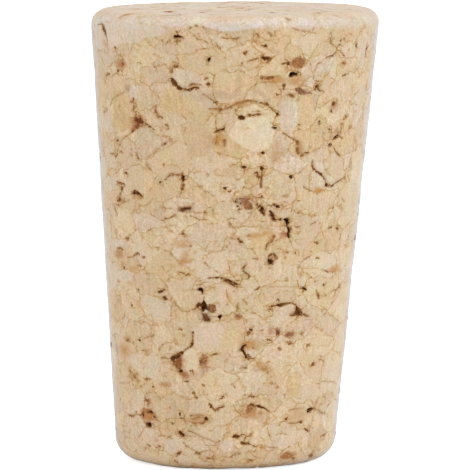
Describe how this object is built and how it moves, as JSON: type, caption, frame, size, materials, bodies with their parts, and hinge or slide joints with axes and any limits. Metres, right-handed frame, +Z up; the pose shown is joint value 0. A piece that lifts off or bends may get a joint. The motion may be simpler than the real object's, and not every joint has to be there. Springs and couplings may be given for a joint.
{
  "type": "cork stopper",
  "caption": "Tapered round stopper of pressed cork granules, with rounded rims and small open voids, standing on its narrow end.",
  "frame": {"origin": "centre of the narrow end, which is the face that the stopper stands on", "axes": "+Z up, from the narrow end to the wide end; -Y to the front; the wide end's centre stands 1 mm off towards +X"},
  "size_m": [0.0242, 0.0242, 0.038],
  "materials": {
    "cork": "ground, dry, matt pressed cork granules, tan with cream and pinkish grains, brown seams and dark open voids"
  },
  "bodies": {
    "root": {"stopper": "cork"}
  },
  "joints": []
}
